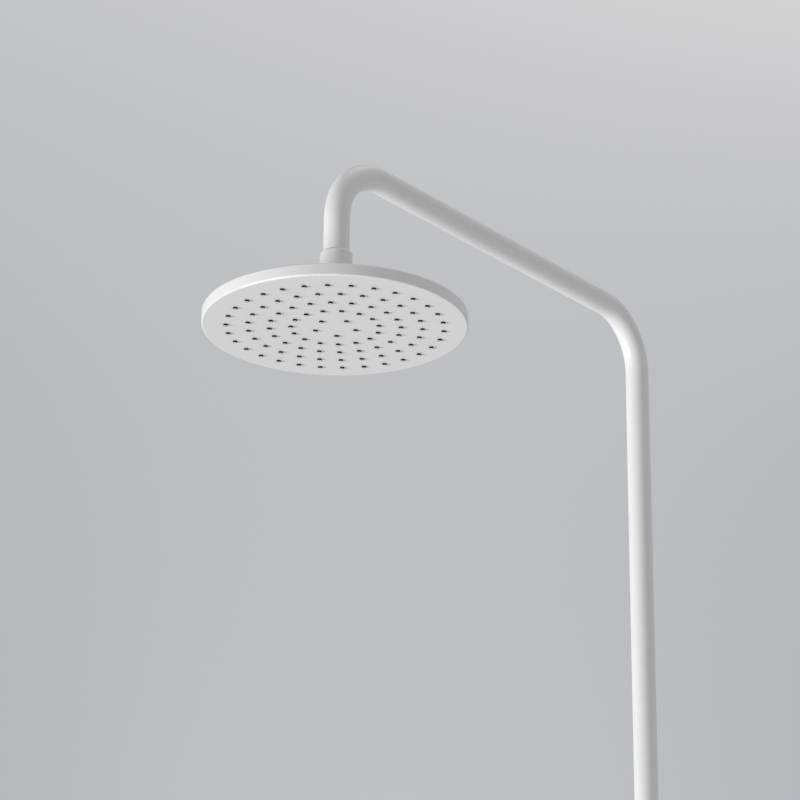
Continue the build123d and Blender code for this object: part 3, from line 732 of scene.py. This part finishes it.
def finishes() -> dict[Slot, bpy.types.Material]:
    """Builds each slot's finish.

    Returns:
        Slot to material.
    """
    tip_edge = 0.15 * MM
    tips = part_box("nozzle_mat")[0][2] + tip_edge
    kinds = {
        Slot.METAL: Finish(
            "satin white powder coat", (0.83, 0.83, 0.83), roughness=0.42, mottle=0.012, mottle_size=0.05,
            roughness_swing=0.06, grain_size=0.0016, grain_depth=0.000012, coat=0.12, coat_roughness=0.3,
        ),
        Slot.FACE: Finish(
            "satin white paint", (0.83, 0.83, 0.83), roughness=0.45, mottle=0.01, mottle_size=0.06,
            roughness_swing=0.05, grain_size=0.0012, grain_depth=0.000008, coat=0.1, coat_roughness=0.3,
        ),
        Slot.PLASTIC: Finish(
            "satin white plastic", (0.82, 0.82, 0.82), roughness=0.42, mottle=0.012, mottle_size=0.03,
            roughness_swing=0.06, grain_size=0.0007, grain_depth=0.000012,
        ),
        Slot.NOZZLE: Tipped(
            "moulded nozzle rubber", (0.012, 0.012, 0.012), roughness=0.7, mottle=0.1, mottle_size=0.012,
            roughness_swing=0.08, grain_size=0.0005, grain_depth=0.00001, specular=0.15, tip_height=tips,
        ),
        Slot.BRASS: Turned(
            "turned brass", (0.78, 0.62, 0.34), roughness=0.3, mottle=0.05, mottle_size=0.01,
            roughness_swing=0.1, grain_size=0.002, grain_depth=0.00001, metallic=1.0,
        ),
        Slot.STEEL: Turned(
            "plain stainless steel", (0.6, 0.6, 0.62), roughness=0.3, mottle=0.04, mottle_size=0.008,
            roughness_swing=0.1, grain_size=0.002, grain_depth=0.00001, metallic=1.0,
        ),
        Slot.RUBBER: Finish(
            "moulded black rubber", (0.05, 0.05, 0.05), roughness=0.65, mottle=0.15, mottle_size=0.01,
            roughness_swing=0.1, grain_size=0.0006, grain_depth=0.00002,
        ),
        Slot.NATURAL: Finish(
            "natural acetal", (0.85, 0.84, 0.8), roughness=0.42, mottle=0.02, mottle_size=0.02,
            roughness_swing=0.06, grain_size=0.0008, grain_depth=0.00001,
        ),
        Slot.CERAMIC: Finish(
            "lapped ceramic", (0.93, 0.93, 0.9), roughness=0.12, mottle=0.01, mottle_size=0.01,
            roughness_swing=0.03, grain_size=0.0006, grain_depth=0.000002, coat=0.3, coat_roughness=0.05,
        ),
    }
    return {slot: kind.make() for slot, kind in kinds.items()}


@dataclass
class Studio:
    """Floor, pale background, plain soft light and the camera at the photograph's angle.

    Attributes:
        ambient: Light of the world on the object.
        low_tone: Darker tone of the backdrop, its painted shade.
        high_tone: Lighter tone of the backdrop, its painted light.
        left_share: Share of the painted light at the backdrop's upper left.
        middle_share: Share of the painted light in the pool at the middle of its lower edge.
        view_half: Half the backdrop's width, as a share of its distance.
        view_right: Direction across the backdrop to the right.
        view_up: Direction across the backdrop upward.
        view_offset: How far the backdrop's middle lies to the left and upward, as a like share.
        floor_colour: Colour of the floor.
        floor_z: Height of the floor.
        floor_size: Side of the floor.
        key_direction: Way from the object to the key light.
        key_strength: Strength of the key light.
        key_softness: Angle that the key light fills, in degrees.
        top_direction: Way from the object to the top light.
        top_strength: Strength of the top light.
        top_softness: Angle that the top light fills, in degrees.
        camera_place: Place of the camera.
        camera_azimuth: Turn of the camera about the upright, in degrees.
        camera_pitch: Upward tilt of the camera, in degrees.
        camera_lens: Focal length in millimetres.
        camera_shift: Shift of the frame, to the left and upward.
    """

    ambient: tuple[float, float, float] = (0.32, 0.32, 0.325)
    low_tone: tuple[float, float, float] = (0.47, 0.482, 0.505)
    high_tone: tuple[float, float, float] = (0.655, 0.65, 0.66)
    left_share: float = 0.45
    middle_share: float = 0.28
    view_half: float = 0.145
    view_right: tuple[float, float, float] = (0.795, 0.607, 0.0)
    view_up: tuple[float, float, float] = (0.201, -0.263, 0.944)
    view_offset: float = 0.023
    floor_colour: tuple[float, float, float] = (0.88, 0.88, 0.89)
    floor_z: float = -1.15
    floor_size: float = 60.0
    key_direction: tuple[float, float, float] = (-0.494, -0.768, -0.407)
    key_strength: float = 2.5
    key_softness: float = 26.0
    top_direction: tuple[float, float, float] = (0.1, 0.25, 0.96)
    top_strength: float = 0.66
    top_softness: float = 40.0
    camera_place: tuple[float, float, float] = (1.5487, -2.3995, -0.0702)
    camera_azimuth: float = 37.357
    camera_pitch: float = 19.352
    camera_lens: float = 123.93
    camera_shift: float = 0.08

    def share_along(self, tree: bpy.types.NodeTree, sight: Wire, axis: tuple, offset: float) -> Wire:
        """Share from 0 to 1 across the backdrop.

        Args:
            tree: World's node tree.
            sight: Direction in which the world is seen.
            axis: Fixed direction across the backdrop.
            offset: Middle of the backdrop along it.

        Returns:
            The share.
        """
        settings = {"operation": "DOT_PRODUCT"}
        along = add_node(tree, "ShaderNodeVectorMath", settings, {0: sight, 1: axis}, "Value")
        return ((along - offset) * (0.5 / self.view_half) + 0.5).clamped()

    def sky(self) -> None:
        """World that lights softly and shows the pale backdrop, with painted light and shade across it, to
        the camera and in reflections.
        """
        world = bpy.data.worlds.new("studio")
        world.use_nodes = True
        tree = world.node_tree
        tree.nodes.clear()
        bpy.context.scene.world = world
        path = tree.nodes.new("ShaderNodeLightPath")
        rays = ("Is Camera Ray", "Is Glossy Ray", "Is Transmission Ray")
        camera, glossy, through = (Wire(tree, path.outputs[name]) for name in rays)
        seen = camera.maths("MAXIMUM", camera, glossy.maths("MAXIMUM", glossy, through))
        sight = add_node(tree, "ShaderNodeTexCoord", {}, {}, "Generated")
        right = self.share_along(tree, sight, self.view_right, -self.view_offset)
        up = self.share_along(tree, sight, self.view_up, self.view_offset)
        # Painted light on the backdrop: lighter towards the top and, at the top, towards the right, with a
        # painted pool of light at the middle of the lower edge.
        glow = right * (1 - right) * (1 - up) * (4 * self.middle_share)
        share = up * up * up * (self.left_share + right * (1 - self.left_share)) + glow
        backdrop = mixed(tree, share, self.low_tone, self.high_tone)
        colour = mixed(tree, seen, self.ambient, backdrop)
        back = add_node(tree, "ShaderNodeBackground", {}, {"Color": colour, "Strength": 1.0})
        add_node(tree, "ShaderNodeOutputWorld", {}, {"Surface": back})

    def floor(self) -> None:
        """Plain pale floor that keeps the object's shadow and lets the low light past."""
        clear_selection()
        bpy.ops.mesh.primitive_plane_add(size=self.floor_size, location=(0, 0, self.floor_z))
        plane = bpy.context.object
        plane.name = "floor"
        plane.visible_shadow = False
        finish = Finish("pale floor", self.floor_colour, roughness=0.8, mottle=0.01, mottle_size=0.5)
        plane.data.materials.append(finish.make())

    def light(
        self, name: str, direction: tuple[float, float, float], strength: float, softness: float
    ) -> None:
        """Adds an even soft light.

        Args:
            name: Name of the light.
            direction: Way from the object to the light.
            strength: Strength in watts per square metre.
            softness: Angle that the light fills, in degrees.
        """
        data = bpy.data.lights.new(name, "SUN")
        data.energy = strength
        data.angle = math.radians(softness)
        light = bpy.data.objects.new(name, data)
        bpy.context.scene.collection.objects.link(light)
        light.rotation_mode = "QUATERNION"
        light.rotation_quaternion = Vector(direction).to_track_quat("Z", "Y")

    def camera(self) -> None:
        """Adds the camera and makes it the scene's."""
        data = bpy.data.cameras.new("camera")
        data.lens = self.camera_lens
        data.shift_x = -self.camera_shift
        data.shift_y = self.camera_shift
        camera = bpy.data.objects.new("camera", data)
        bpy.context.scene.collection.objects.link(camera)
        camera.location = self.camera_place
        camera.rotation_euler = (math.radians(90 + self.camera_pitch), 0, math.radians(self.camera_azimuth))
        bpy.context.scene.camera = camera

    def build(self) -> None:
        """Sets up the whole studio."""
        bpy.context.scene.view_settings.view_transform = "Standard"
        self.camera()
        self.sky()
        self.floor()
        self.light("low left light", self.key_direction, self.key_strength, self.key_softness)
        self.light("top right light", self.top_direction, self.top_strength, self.top_softness)
        log.info("studio ready")


def main() -> None:
    """Builds the looks in order."""
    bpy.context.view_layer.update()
    looks = finishes()
    for kind in (SprayHead, Riser, WallBracket, HandsetSlider, Diverter, WallInlet, HoseOutlet):
        assembly = kind(looks)
        assembly.dress()
        assembly.build()
        log.info("finished %s", kind.__name__)
    Studio().build()


if __name__ == "__main__":
    logging.basicConfig(level=logging.INFO, format="%(message)s")
    main()
